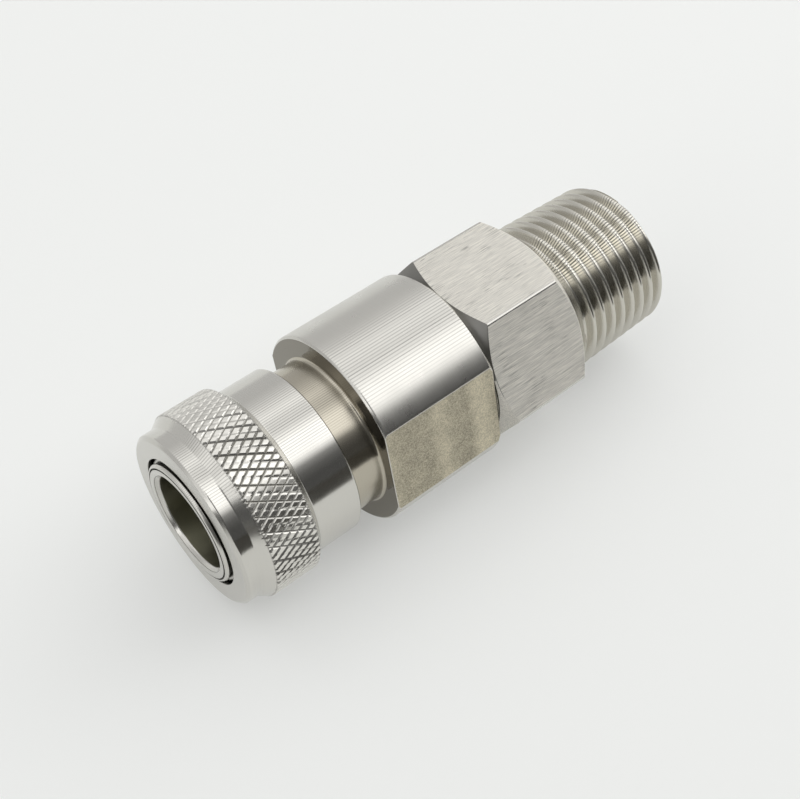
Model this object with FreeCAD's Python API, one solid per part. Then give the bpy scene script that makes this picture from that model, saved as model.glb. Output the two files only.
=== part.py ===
import FreeCAD, Part
import math
import os

# Ball-lock quick coupling body with a taper pipe thread, lying on its side.
# X runs along the coupling, from the plug mouth to the pipe thread, and Z is up.
# The origin is on the axis, at the rear face of the hexagon. Sizes are in millimetres.
# Roll angles are about X, from straight up, and negative towards -Y.

# Lengths that show from outside
nose_standout = 0.5
sleeve_length = 16.7
release_gap = 4.6
body_length = 16.8
hex_length = 14.7
thread_length = 16.9

# Clearances
slide_clearance = 0.08
ball_clearance = 0.06
ball_hole_clearance = 0.07
stop_clearance = 0.05
seal_clearance = 0.03
screwed_clearance = 0.05
stem_clearance = 0.06
spring_end_clearance = 0.03

# Nose and plug mouth
mouth_radius = 6.2
mouth_chamfer = 0.5
mouth_tail = 0.8
nose_wall = 2.0
nose_lip_drop = 0.2
nose_lip_chamfer = 0.35
nose_lip_length = 0.5
pilot_step = 0.6

# Snap ring that keeps the sleeve on the nose
ring_wire_radius = 0.5
ring_setback = 1.45
ring_sink = 0.15
ring_recess_clearance = 0.3
ring_groove_slope = 0.64
ring_gap_angle = 24.0
ring_gap_roll = 147.0

# Locking balls and the cam inside the sleeve
ball_count = 8
ball_radius = 1.5
ball_first_roll = 22.5
ball_lip_hold = 0.04
cam_slope = 0.29
lip_thickness = 0.75
lip_clearance = 0.1
land_length = 1.0
stop_margin = 1.0

# Locking sleeve, outside
skirt_wall = 1.27
knurl_rise = 1.25
front_land_drop = 1.0
front_land_length = 2.1
front_edge_chamfer = 0.45
front_cone_length = 1.4
knurl_length = 6.0
rear_cone_length = 1.0
guide_overlap = 1.5
skirt_edge_chamfer = 0.2

# Sleeve spring
spring_space = 1.7
sleeve_wire_radius = 0.4
sleeve_coil_pitch = 2.0
coil_wire_sides = 8
coil_steps_per_turn = 20

# Body with two wrench flats
shoulder_height = 3.1
neck_fillet = 0.5
body_front_chamfer = 0.3
body_rear_chamfer = 0.45
flat_depth = 1.5
flat_roll = -77.5

# Plug seal in the neck
plug_seal_width = 1.9
plug_seal_height = 1.9
plug_seal_chamfer = 0.45
backup_thickness = 0.75
plug_groove_play = 0.1
plug_groove_setback = 0.5
plug_seal_bulge = 0.17
stop_wall = 2.05

# Check valve
stop_step = 1.0
throat_length = 1.4
seat_width = 3.0
seat_gap = 0.16
valve_travel = 2.6
valve_nose_radius = 3.4
valve_nose_chamfer = 0.4
head_overlap = 2.0
head_rim = 1.6
valve_seal_width = 1.3
valve_seal_depth = 0.9
valve_seal_rim = 0.45
valve_seal_bulge = 0.12
stem_radius = 1.8
stem_tail = 1.5
stem_chamfer = 0.3
valve_wire_radius = 0.4
valve_coil_pitch = 1.6
valve_spring_play = 1.4

# Valve guide
counterbore_wall = 1.7
guide_ledge = 1.4
guide_flange = 1.2
guide_rim_width = 1.8
guide_hub_wall = 2.4
guide_hub_length = 3.0
guide_arm_width = 2.2
guide_arm_count = 3

# Screwed adapter
spigot_length = 5.4
adapter_seal_width = 1.2
adapter_seal_height = 1.2
adapter_seal_chamfer = 0.25
adapter_groove_play = 0.3
adapter_groove_setback = 0.35
port_bore_radius = 7.0
port_bore_chamfer = 0.6

# Hexagon
hex_across_flats = 24.0
hex_front_bevel_angle = 40.0
hex_rear_bevel_angle = 30.0
hex_face_margin = 0.3

# Half-inch taper pipe thread, one in sixteen on the diameter
thread_gauge_radius = 10.4775
thread_gauge_length = 8.2
thread_depth = 1.162
taper_on_radius = 1.0 / 32.0
relief_width = 1.2
thread_end_chamfer = 0.7

# Stations along the axis
body_rear_x = -hex_length
body_front_x = body_rear_x - body_length
sleeve_rear_x = body_front_x - release_gap
sleeve_front_x = sleeve_rear_x - sleeve_length
nose_face_x = sleeve_front_x - nose_standout
neck_front_x = sleeve_rear_x - guide_overlap

# Radii from the mouth outwards
nose_radius = mouth_radius + nose_wall
neck_radius = nose_radius + spring_space
body_radius = neck_radius + shoulder_height
flat_distance = body_radius - flat_depth

# Snap ring and the parts of the sleeve that meet it
ring_x = nose_face_x + ring_setback
ring_radius = nose_radius - ring_sink
ring_recess_radius = ring_radius + ring_wire_radius + ring_recess_clearance
sleeve_bore_radius = nose_radius + slide_clearance
ring_groove_radius = ring_radius - ring_wire_radius - stop_clearance
ring_groove_half = ring_wire_radius + stop_clearance
nose_lip_radius = nose_radius - nose_lip_drop
ring_groove_front_x = nose_face_x + nose_lip_length
ring_groove_floor_x = ring_groove_front_x + (nose_lip_radius - ring_groove_radius) / ring_groove_slope
ring_contact = math.sqrt(ring_wire_radius ** 2 - (sleeve_bore_radius - ring_radius) ** 2)
lip_front_x = ring_x + ring_contact + stop_clearance
lip_rear_x = lip_front_x + lip_thickness

# Balls, their lift and the cam that lets them out
sleeve_travel = release_gap - stop_margin
ball_x = lip_rear_x + sleeve_travel + ball_radius + lip_clearance
ball_seat_radius = sleeve_bore_radius - ball_clearance - ball_radius
ball_lift = cam_slope * sleeve_travel
cam_offset = (ball_radius + ball_clearance) / math.cos(math.atan(cam_slope))
relief_radius = ball_seat_radius + ball_lift + cam_offset
cam_front_x = ball_x - sleeve_travel
cam_rear_x = cam_front_x + (relief_radius - sleeve_bore_radius) / cam_slope
spring_seat_x = cam_rear_x + land_length

# Sleeve radii
skirt_bore_radius = neck_radius + slide_clearance
skirt_radius = skirt_bore_radius + skirt_wall
knurl_radius = skirt_radius + knurl_rise
front_land_radius = knurl_radius - front_land_drop

# Bore of the body
mouth_rear_x = ball_x + ball_radius + mouth_tail
pilot_radius = mouth_radius - pilot_step
plug_groove_x = neck_front_x + plug_groove_setback
plug_groove_width = backup_thickness + plug_seal_width + plug_groove_play
plug_seal_inner = pilot_radius - plug_seal_bulge
plug_groove_radius = plug_seal_inner + plug_seal_height + seal_clearance
stop_x = plug_groove_x + plug_groove_width + stop_wall
throat_radius = pilot_radius - stop_step
throat_rear_x = stop_x + throat_length
seat_rear_x = throat_rear_x + seat_width
counterbore_radius = flat_distance - counterbore_wall
chamber_radius = counterbore_radius - guide_ledge
guide_x = body_rear_x - spigot_length - guide_flange

# Valve
head_radius = throat_radius + head_overlap
head_rim_x = throat_rear_x + head_overlap + seat_gap * math.sqrt(2)
head_back_x = head_rim_x + head_rim
valve_nose_x = stop_x - valve_travel
head_cone_x = head_rim_x - (head_radius - valve_nose_radius)
hub_rear_x = guide_x + guide_hub_length
hub_bore_radius = stem_radius + stem_clearance
hub_radius = hub_bore_radius + guide_hub_wall
stem_end_x = hub_rear_x + stem_tail
valve_coil_radius = stem_radius + valve_spring_play + valve_wire_radius

# The valve seal lies in a groove in the head's cone and stands a little proud of it
valve_seal_rear_x = head_rim_x - valve_seal_rim
valve_seal_front_x = valve_seal_rear_x - valve_seal_width
valve_groove_rear_radius = head_radius - valve_seal_rim
valve_groove_front_radius = valve_groove_rear_radius - valve_seal_width
valve_groove_radius = valve_groove_front_radius - valve_seal_depth

# Adapter
spigot_front_x = guide_x + guide_flange
spigot_radius = counterbore_radius - screwed_clearance
adapter_seal_outer = counterbore_radius - seal_clearance
adapter_groove_radius = adapter_seal_outer - adapter_seal_height - seal_clearance
adapter_groove_width = adapter_seal_width + adapter_groove_play
adapter_groove_rear_x = body_rear_x - adapter_groove_setback
adapter_groove_front_x = adapter_groove_rear_x - adapter_groove_width
hex_corner_radius = hex_across_flats / math.sqrt(3)
hex_face_radius = hex_across_flats / 2 - hex_face_margin
thread_small_radius = thread_gauge_radius - thread_gauge_length * taper_on_radius
thread_large_radius = thread_small_radius + (thread_length - relief_width) * taper_on_radius
relief_radius_thread = thread_large_radius - thread_depth

AXIS = FreeCAD.Vector(1, 0, 0)
ORIGIN = FreeCAD.Vector(0, 0, 0)


def place(x, radius, roll):
    """Point at a station, a distance from the axis and a roll angle."""
    angle = math.radians(roll)
    return FreeCAD.Vector(x, radius * math.sin(angle), radius * math.cos(angle))


def turned(outline):
    """Solid of revolution about the axis from (station, radius) points."""
    points = [FreeCAD.Vector(x, 0, radius) for x, radius in outline]
    face = Part.Face(Part.makePolygon(points + points[:1]))
    return face.revolve(ORIGIN, AXIS, 360)


def coil_section(turn, mean_radius, wire_radius, pitch):
    """Outline of the wire where it has wound a number of turns about Z."""
    angle = 2 * math.pi * turn
    outward = FreeCAD.Vector(math.cos(angle), math.sin(angle), 0)
    points = []
    for side in range(coil_wire_sides):
        corner = 2 * math.pi * (side + 0.5) / coil_wire_sides
        point = outward * (mean_radius + wire_radius * math.cos(corner))
        points.append(point + FreeCAD.Vector(0, 0, pitch * turn + wire_radius * math.sin(corner)))
    return Part.makePolygon(points + points[:1])


def coil(front_x, rear_x, mean_radius, wire_radius, pitch):
    """Compression spring between two stations, with its ends ground flat."""
    length = rear_x - front_x
    turns = length / pitch
    steps = math.ceil(turns * coil_steps_per_turn)
    sections = []
    for step in range(steps + 1):
        sections.append(coil_section(turns * step / steps, mean_radius, wire_radius, pitch))
    wound = Part.makeLoft(sections, True, True)
    spring = wound.common(Part.makeCylinder(mean_radius + 2 * wire_radius, length))
    spring.rotate(ORIGIN, FreeCAD.Vector(0, 1, 0), 90)
    spring.translate(FreeCAD.Vector(front_x, 0, 0))
    return spring


def seal_ring(front_x, rear_x, inner, outer, chamfer):
    """Moulded ring of square section with its four corners taken off."""
    return turned([
        (front_x, inner + chamfer),
        (front_x, outer - chamfer),
        (front_x + chamfer, outer),
        (rear_x - chamfer, outer),
        (rear_x, outer - chamfer),
        (rear_x, inner + chamfer),
        (rear_x - chamfer, inner),
        (front_x + chamfer, inner),
    ])


def circle_edges(shape, x, radius):
    """Full-circle edges of a turned shape at one station and radius."""
    found = []
    for edge in shape.Edges:
        curve = edge.Curve
        if curve.TypeId != "Part::GeomCircle":
            continue
        if abs(curve.Center.x - x) < 1e-6 and abs(curve.Radius - radius) < 1e-6:
            found.append(edge)
    return found


def body_outline():
    """Section of the one-piece nose, neck and body."""
    outside = [
        (nose_face_x, mouth_radius + mouth_chamfer),
        (nose_face_x, nose_lip_radius - nose_lip_chamfer),
        (nose_face_x + nose_lip_chamfer, nose_lip_radius),
        (ring_groove_front_x, nose_lip_radius),
        (ring_groove_floor_x, ring_groove_radius),
        (ring_x + ring_groove_half, ring_groove_radius),
        (ring_x + ring_groove_half, nose_radius),
        (neck_front_x, nose_radius),
        (neck_front_x, neck_radius),
        (body_front_x, neck_radius),
        (body_front_x, body_radius - body_front_chamfer),
        (body_front_x + body_front_chamfer, body_radius),
        (body_rear_x - body_rear_chamfer, body_radius),
        (body_rear_x, body_radius - body_rear_chamfer),
    ]
    inside = [
        (body_rear_x, counterbore_radius),
        (guide_x, counterbore_radius),
        (guide_x, chamber_radius),
        (seat_rear_x, chamber_radius),
        (seat_rear_x, throat_radius + seat_width),
        (throat_rear_x, throat_radius),
        (stop_x, throat_radius),
        (stop_x, pilot_radius),
        (plug_groove_x + plug_groove_width, pilot_radius),
        (plug_groove_x + plug_groove_width, plug_groove_radius),
        (plug_groove_x, plug_groove_radius),
        (plug_groove_x, pilot_radius),
        (mouth_rear_x + pilot_step, pilot_radius),
        (mouth_rear_x, mouth_radius),
        (nose_face_x + mouth_chamfer, mouth_radius),
    ]
    return outside + inside


def wrench_flat_cut(roll):
    """Block that mills one wrench flat along the whole body."""
    block = Part.makeBox(body_length, 2 * body_radius, body_radius)
    block.translate(FreeCAD.Vector(body_front_x, -body_radius, flat_distance))
    block.rotate(ORIGIN, AXIS, -roll)
    return block


def ball_roll(index):
    return ball_first_roll + index * 360.0 / ball_count


def ball_hole_cut(roll):
    """Tapered hole for a ball, narrower than the ball at the bore so that it can't fall through."""
    lip_radius = ball_radius - ball_lip_hold
    seat_rise = ball_seat_radius - mouth_radius
    widening = (ball_radius + ball_hole_clearance - lip_radius) / seat_rise
    depth = mouth_radius - ball_radius
    height = nose_radius + ball_radius - depth
    inner_radius = lip_radius - widening * (mouth_radius - depth)
    outer_radius = inner_radius + widening * height
    return Part.makeCone(inner_radius, outer_radius, height, place(ball_x, depth, roll), place(0, 1, roll))


def make_socket_body():
    body = turned(body_outline())
    body = body.makeFillet(neck_fillet, circle_edges(body, body_front_x, neck_radius))
    cuts = [wrench_flat_cut(flat_roll), wrench_flat_cut(flat_roll + 180)]
    cuts += [ball_hole_cut(ball_roll(index)) for index in range(ball_count)]
    return body.cut(cuts)


def make_locking_sleeve():
    """Turned sleeve: outside from front to rear, then the cam bore back to the front."""
    land_rear_x = sleeve_front_x + front_land_length
    knurl_front_x = land_rear_x + front_cone_length
    knurl_rear_x = knurl_front_x + knurl_length
    outside = [
        (sleeve_front_x, front_land_radius - front_edge_chamfer),
        (sleeve_front_x + front_edge_chamfer, front_land_radius),
        (land_rear_x, front_land_radius),
        (knurl_front_x, knurl_radius),
        (knurl_rear_x, knurl_radius),
        (knurl_rear_x + rear_cone_length, skirt_radius),
        (sleeve_rear_x - skirt_edge_chamfer, skirt_radius),
        (sleeve_rear_x, skirt_radius - skirt_edge_chamfer),
    ]
    inside = [
        (sleeve_rear_x, skirt_bore_radius),
        (spring_seat_x, skirt_bore_radius),
        (spring_seat_x, sleeve_bore_radius),
        (cam_rear_x, sleeve_bore_radius),
        (cam_front_x, relief_radius),
        (lip_rear_x, relief_radius),
        (lip_rear_x, sleeve_bore_radius),
        (lip_front_x, sleeve_bore_radius),
        (lip_front_x, ring_recess_radius),
        (sleeve_front_x, ring_recess_radius),
    ]
    return turned(outside + inside)


def make_snap_ring():
    """Round-wire ring about the axis, open at its gap."""
    circle = Part.makeCircle(ring_wire_radius, place(ring_x, ring_radius, 0), FreeCAD.Vector(0, 1, 0))
    ring = Part.Face(Part.Wire(circle)).revolve(ORIGIN, AXIS, 360 - ring_gap_angle)
    ring.rotate(ORIGIN, AXIS, ring_gap_angle / 2 - ring_gap_roll)
    return ring


def make_sleeve_spring():
    mean_radius = (nose_radius + skirt_bore_radius) / 2
    front_x = spring_seat_x + spring_end_clearance
    rear_x = neck_front_x - spring_end_clearance
    return coil(front_x, rear_x, mean_radius, sleeve_wire_radius, sleeve_coil_pitch)


def make_lock_ball(index):
    return Part.makeSphere(ball_radius, place(ball_x, ball_seat_radius, ball_roll(index)))


def make_plug_seal():
    front_x = plug_groove_x + plug_groove_play / 2
    outer = plug_seal_inner + plug_seal_height
    return seal_ring(front_x, front_x + plug_seal_width, plug_seal_inner, outer, plug_seal_chamfer)


def make_seal_backup_ring():
    """Flat ring behind the plug seal."""
    rear_x = plug_groove_x + plug_groove_width
    front_x = rear_x - backup_thickness
    inner = pilot_radius + seal_clearance
    outer = plug_groove_radius - seal_clearance
    return turned([(front_x, inner), (front_x, outer), (rear_x, outer), (rear_x, inner)])


def make_valve_poppet():
    return turned([
        (valve_nose_x, 0),
        (valve_nose_x, valve_nose_radius - valve_nose_chamfer),
        (valve_nose_x + valve_nose_chamfer, valve_nose_radius),
        (head_cone_x, valve_nose_radius),
        (valve_seal_front_x, valve_groove_front_radius),
        (valve_seal_front_x, valve_groove_radius),
        (valve_seal_rear_x, valve_groove_radius),
        (valve_seal_rear_x, valve_groove_rear_radius),
        (head_rim_x, head_radius),
        (head_back_x, head_radius),
        (head_back_x, stem_radius),
        (stem_end_x - stem_chamfer, stem_radius),
        (stem_end_x, stem_radius - stem_chamfer),
        (stem_end_x, 0),
    ])


def make_valve_seal():
    """Moulded ring that fills the groove in the valve's cone."""
    rise = valve_seal_bulge * math.sqrt(2)
    front_x = valve_seal_front_x + seal_clearance
    rear_x = valve_seal_rear_x - seal_clearance
    return turned([
        (front_x, valve_groove_radius + seal_clearance),
        (rear_x, valve_groove_radius + seal_clearance),
        (rear_x, valve_groove_rear_radius - seal_clearance + rise),
        (front_x, valve_groove_front_radius + seal_clearance + rise),
    ])


def make_valve_spring():
    front_x = head_back_x + spring_end_clearance
    rear_x = guide_x - spring_end_clearance
    return coil(front_x, rear_x, valve_coil_radius, valve_wire_radius, valve_coil_pitch)


def make_valve_guide():
    """Hub for the valve stem, carried by arms in a flat rim."""
    rim_outer = counterbore_radius - screwed_clearance
    rim_inner = rim_outer - guide_rim_width
    rim = turned([
        (guide_x, rim_inner),
        (guide_x, rim_outer),
        (spigot_front_x, rim_outer),
        (spigot_front_x, rim_inner),
    ])
    hub = turned([
        (guide_x, 0),
        (guide_x, hub_radius),
        (hub_rear_x, hub_radius),
        (hub_rear_x, 0),
    ])
    arms = []
    for index in range(guide_arm_count):
        arm = Part.makeBox(guide_flange, guide_arm_width, rim_inner + guide_rim_width / 2)
        arm.translate(FreeCAD.Vector(guide_x, -guide_arm_width / 2, 0))
        arm.rotate(ORIGIN, AXIS, index * 360.0 / guide_arm_count)
        arms.append(arm)
    bore = Part.makeCylinder(hub_bore_radius, guide_hub_length, FreeCAD.Vector(guide_x, 0, 0), AXIS)
    return hub.fuse([rim] + arms).cut(bore).removeSplitter()


def make_hexagon():
    """Hexagon with flats up and down, its corners bevelled at both ends."""
    corners = [place(body_rear_x, hex_corner_radius, 30 + 60 * index) for index in range(6)]
    prism = Part.Face(Part.makePolygon(corners + corners[:1])).extrude(AXIS * hex_length)
    reach = hex_corner_radius + hex_face_margin
    front_run = (reach - hex_face_radius) * math.tan(math.radians(hex_front_bevel_angle))
    rear_run = (reach - hex_face_radius) * math.tan(math.radians(hex_rear_bevel_angle))
    bevelled = turned([
        (body_rear_x, 0),
        (body_rear_x, hex_face_radius),
        (body_rear_x + front_run, reach),
        (-rear_run, reach),
        (0, hex_face_radius),
        (0, 0),
    ])
    return prism.common(bevelled)


def make_adapter():
    spigot = turned([
        (spigot_front_x, 0),
        (spigot_front_x, spigot_radius),
        (adapter_groove_front_x, spigot_radius),
        (adapter_groove_front_x, adapter_groove_radius),
        (adapter_groove_rear_x, adapter_groove_radius),
        (adapter_groove_rear_x, spigot_radius),
        (body_rear_x, spigot_radius),
        (body_rear_x, 0),
    ])
    nipple = turned([
        (0, 0),
        (0, relief_radius_thread),
        (relief_width, relief_radius_thread),
        (relief_width, thread_large_radius),
        (thread_length - thread_end_chamfer, thread_small_radius + thread_end_chamfer * taper_on_radius),
        (thread_length, thread_small_radius - thread_end_chamfer),
        (thread_length, 0),
    ])
    bore = turned([
        (spigot_front_x, 0),
        (spigot_front_x, port_bore_radius),
        (thread_length - port_bore_chamfer, port_bore_radius),
        (thread_length, port_bore_radius + port_bore_chamfer),
        (thread_length, 0),
    ])
    return make_hexagon().fuse([spigot, nipple]).cut(bore).removeSplitter()


def make_adapter_seal():
    front_x = adapter_groove_front_x + adapter_groove_play / 2
    inner = adapter_seal_outer - adapter_seal_height
    return seal_ring(front_x, front_x + adapter_seal_width, inner, adapter_seal_outer, adapter_seal_chamfer)


def main():
    os.makedirs("parts", exist_ok=True)
    pieces = {
        "socket_body": make_socket_body(),
        "locking_sleeve": make_locking_sleeve(),
        "snap_ring": make_snap_ring(),
        "sleeve_spring": make_sleeve_spring(),
        "plug_seal": make_plug_seal(),
        "seal_backup_ring": make_seal_backup_ring(),
        "valve_poppet": make_valve_poppet(),
        "valve_seal": make_valve_seal(),
        "valve_spring": make_valve_spring(),
        "valve_guide": make_valve_guide(),
        "adapter": make_adapter(),
        "adapter_seal": make_adapter_seal(),
    }
    for index in range(ball_count):
        pieces["lock_ball_%d" % (index + 1)] = make_lock_ball(index)
    for name, shape in pieces.items():
        shape.exportStep("parts/%s.step" % name)


main()
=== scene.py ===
import math

import bmesh
import bpy
from mathutils import Matrix, Vector


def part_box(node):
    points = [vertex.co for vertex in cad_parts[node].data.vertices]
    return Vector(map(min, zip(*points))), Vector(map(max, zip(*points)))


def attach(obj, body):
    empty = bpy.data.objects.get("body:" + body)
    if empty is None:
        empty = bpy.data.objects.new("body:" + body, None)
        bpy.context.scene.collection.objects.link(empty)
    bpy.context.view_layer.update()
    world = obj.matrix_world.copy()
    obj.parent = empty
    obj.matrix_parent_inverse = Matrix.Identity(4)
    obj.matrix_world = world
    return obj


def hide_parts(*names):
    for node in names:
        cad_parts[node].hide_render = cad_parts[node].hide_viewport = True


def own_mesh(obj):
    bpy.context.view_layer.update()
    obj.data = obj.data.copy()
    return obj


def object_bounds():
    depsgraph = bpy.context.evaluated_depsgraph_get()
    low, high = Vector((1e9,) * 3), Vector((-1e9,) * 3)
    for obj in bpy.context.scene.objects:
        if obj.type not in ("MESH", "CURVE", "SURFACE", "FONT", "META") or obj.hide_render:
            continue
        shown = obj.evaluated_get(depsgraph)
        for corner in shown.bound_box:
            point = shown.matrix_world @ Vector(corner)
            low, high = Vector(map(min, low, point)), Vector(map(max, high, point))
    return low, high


bl_info = {
    "name": "Quick coupling body",
    "version": (1, 0, 0),
    "blender": (4, 5, 0),
    "location": "View3D > Sidebar > Coupling",
    "description": "Dresses a stainless quick coupling body with its turned, knurled and threaded surfaces",
    "category": "Object",
}

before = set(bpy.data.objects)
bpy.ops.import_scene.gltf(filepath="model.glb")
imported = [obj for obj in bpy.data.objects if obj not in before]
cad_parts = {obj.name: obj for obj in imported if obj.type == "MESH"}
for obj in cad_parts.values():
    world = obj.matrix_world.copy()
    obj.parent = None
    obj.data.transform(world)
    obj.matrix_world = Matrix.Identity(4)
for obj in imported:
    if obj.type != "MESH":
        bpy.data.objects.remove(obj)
cad_box = [list(corner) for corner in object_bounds()]

# Outlines are in millimetres, as (station along the axis, radius), and meshes are in metres.
# Roll angles are about X, from straight up, and negative towards -Y.
MM = 0.001
# Points that lie closer than this are one, and edges sharper than this angle in degrees stay sharp
MERGE_DISTANCE = 0.002 * MM
SHARP_ANGLE = 38
# Shares of a turn that stretch a metal's reflections across the rings round the axis, or along them
ACROSS_RINGS = 0.25
ALONG_RINGS = 0.0


def linear(code):
    """Linear colour of an sRGB hex value."""
    channels = [int(code[place:place + 2], 16) / 255 for place in (1, 3, 5)]
    return tuple(c / 12.92 if c <= 0.04045 else ((c + 0.055) / 1.055) ** 2.4 for c in channels)


def span(node):
    """First and last station and the largest radius of a node, in millimetres."""
    low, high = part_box(node)
    return low[0] / MM, high[0] / MM, high[2] / MM


def length_setting(label, note, default, low, high):
    """Property for a length, whose default and limits are given in millimetres."""
    return bpy.props.FloatProperty(
        name=label, description=note, default=default * MM, min=low * MM, max=high * MM,
        precision=6, unit="LENGTH")


def colour_setting(label, note, code):
    """Property for a colour, whose default is an sRGB hex value."""
    return bpy.props.FloatVectorProperty(
        name=label, description=note, default=linear(code), size=3, min=0, max=1, subtype="COLOR")


class CouplingSizes(bpy.types.PropertyGroup):
    """Sizes of the details that the solids leave plain"""

    knurl_teeth: bpy.props.IntProperty(
        name="Knurl teeth", description="Grooves of each hand round the knurled band",
        default=76, min=30, max=120)
    knurl_depth: length_setting("Knurl depth", "Depth of the knurl below its crests", 0.16, 0.05, 0.6)
    thread_pitch: length_setting(
        "Thread pitch", "Distance from crest to crest of the pipe thread", 1.814, 0.8, 3)
    thread_depth: length_setting("Thread depth", "Depth of the pipe thread below its crests", 1.162, 0.3, 1.4)
    edge_break: length_setting("Edge break", "Rounding of the machined edges", 0.1, 0.02, 0.2)
    hex_corner: length_setting("Hexagon corner", "Rounding of the drawn hexagon's corners", 0.24, 0.05, 0.6)


class CouplingColours(bpy.types.PropertyGroup):
    """Colours of the finishes and of the floor"""

    steel: colour_setting("Turned steel", "Colour of the turned stainless steel", "#D0CEC8")
    # The neck's colour is darker and warmer than the turned steel: painted shade of the recess between the
    # sleeve and the shoulder
    oiled: colour_setting(
        "Shaded neck steel", "Colour of the turned steel of the neck, darkened and warmed as painted shade", "#B8B2A4")
    threaded: colour_setting(
        "Threaded steel", "Colour of the pipe thread, under traces of cutting oil", "#CDCAC1")
    milled: colour_setting("Milled steel", "Colour of the milled wrench flats", "#B5AE9B")
    drawn: colour_setting("Drawn steel", "Colour of the drawn hexagon", "#E7E4DC")
    # The bores' colour is darker and yellower than the turned steel: painted shade inside the bores
    bored: colour_setting("Bored steel", "Colour of the bores, darkened and yellowed as painted shade", "#9A9884")
    chrome: colour_setting("Ball steel", "Colour of the polished balls", "#D8D8D8")
    rubber: colour_setting("Seal rubber", "Colour of the moulded seals", "#1B1C1C")
    plastic: colour_setting("Seal plastic", "Colour of the ring behind the plug seal", "#E8E6DE")
    floor: colour_setting("Floor", "Colour of the floor", "#F6F7F5")


def connect(tree, node, inputs):
    """Sets inputs of a node, each to a plain value or to another node's output."""
    for key, value in inputs.items():
        if isinstance(value, bpy.types.NodeSocket):
            tree.links.new(value, node.inputs[key])
        else:
            node.inputs[key].default_value = value


def add(tree, kind, *inputs, out=0, **settings):
    """Adds one node with its settings and links, and gives its output of that number or name.

    "ShaderNode" is left out of the kind, and a colon puts the operation after it. Inputs are given in order,
    or by name or number in a dictionary. With None for out, the node itself is given.
    """
    kind, colon, operation = kind.partition(":")
    node = tree.nodes.new(kind if "Node" in kind else "ShaderNode" + kind)
    if colon:
        node.operation = operation
    for name, value in settings.items():
        setattr(node, name, value)
    for place, value in enumerate(inputs):
        connect(tree, node, value if isinstance(value, dict) else {place: value})
    return node if out is None else node.outputs[out]


def eased(outline):
    """Closed outline with its corners rounded.

    A sharp corner is (station, radius). A rounded one adds how far from it the rounding starts, and its
    steps if they aren't two. Guard points beside a rounding keep the shading of its flat neighbours flat.
    """
    largest_share, guard_reach = 0.3, 1.5
    points = []
    for index, (x, r, *rounding) in enumerate(outline):
        if not rounding:
            points.append((x, r))
            continue
        ease, steps = (*rounding, 2)[:2]
        here = Vector((x, r))
        back = Vector(outline[index - 1][:2]) - here
        ahead = Vector(outline[(index + 1) % len(outline)][:2]) - here
        start = back.normalized() * min(ease, largest_share * back.length)
        end = ahead.normalized() * min(ease, largest_share * ahead.length)
        points.append(tuple(here + start * guard_reach))
        for step in range(steps + 1):
            t = step / steps
            points.append(tuple(here + start * (1 - t) ** 2 + end * t ** 2))
        points.append(tuple(here + end * guard_reach))
    return points


def new_mesh(name, points, faces):
    """Mesh of points and faces."""
    mesh = bpy.data.meshes.new(name)
    mesh.from_pydata(points, [], faces)
    return mesh


def turned_mesh(name, section, columns, closed=True, lattice=None):
    """Surface of revolution about the axis. section(roll) gives the outline at a roll angle in degrees.

    lattice is the middle station, the row spacing and the lowest radius of the band that is knurled later.
    Its faces are split crosswise, so that the grooves of both hands follow edges.
    """
    sections = [section(360 * column / columns) for column in range(columns)]
    rows = len(sections[0])
    points = []
    rings = []
    for row in range(rows):
        if sections[0][row][1] < 1e-6:
            rings.append([len(points)] * columns)
            points.append((sections[0][row][0] * MM, 0, 0))
            continue
        rings.append(range(len(points), len(points) + columns))
        for column in range(columns):
            x, r = sections[column][row]
            roll = 2 * math.pi * column / columns
            points.append((x * MM, r * math.sin(roll) * MM, r * math.cos(roll) * MM))
    faces = []
    for row in range(rows if closed else rows - 1):
        following = (row + 1) % rows
        crossed = None
        if lattice:
            middle, spacing, lowest = lattice
            steps = [(sections[0][place][0] - middle) / spacing for place in (row, following)]
            near = [abs(step - round(step)) < 1e-4 for step in steps]
            if all(near) and round(steps[1]) - round(steps[0]) == 1 and sections[0][row][1] > lowest:
                crossed = round(steps[0])
        for column in range(columns):
            beside = (column + 1) % columns
            a, b = rings[row][column], rings[row][beside]
            c, d = rings[following][beside], rings[following][column]
            if crossed is None:
                face = list(dict.fromkeys((a, b, c, d)))
                if len(face) > 2:
                    faces.append(face)
            elif (crossed + column) % 2 == 0:
                faces += [[a, b, c], [a, c, d]]
            else:
                faces += [[a, b, d], [b, c, d]]
    return new_mesh(name, points, faces)


def tidy(mesh, sharp=SHARP_ANGLE):
    """Merges doubles, turns the faces outwards and shades the mesh smooth up to an angle in degrees."""
    work = bmesh.new()
    work.from_mesh(mesh)
    bmesh.ops.remove_doubles(work, verts=work.verts, dist=MERGE_DISTANCE)
    bmesh.ops.dissolve_degenerate(work, edges=work.edges, dist=MERGE_DISTANCE / 4)
    bmesh.ops.recalc_face_normals(work, faces=work.faces)
    work.to_mesh(mesh)
    work.free()
    mesh.shade_smooth()
    mesh.set_sharp_from_angle(angle=math.radians(sharp))


def show(name, mesh, finishes, choose=None):
    """Object for a mesh, with its finishes by name. choose(station, radius, normal) names a face's finish."""
    piece = bpy.data.objects.new(name, mesh)
    bpy.context.scene.collection.objects.link(piece)
    for finish in finishes.values():
        mesh.materials.append(finish)
    names = list(finishes)
    if choose:
        for face in mesh.polygons:
            x, y, z = face.center
            face.material_index = names.index(choose(x / MM, math.hypot(y, z) / MM, face.normal))
    return piece


def hand_over(piece, body, slot, *nodes):
    """Puts a finished piece on its body in place of its solids."""
    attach(piece, body)
    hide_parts(*nodes)


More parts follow.
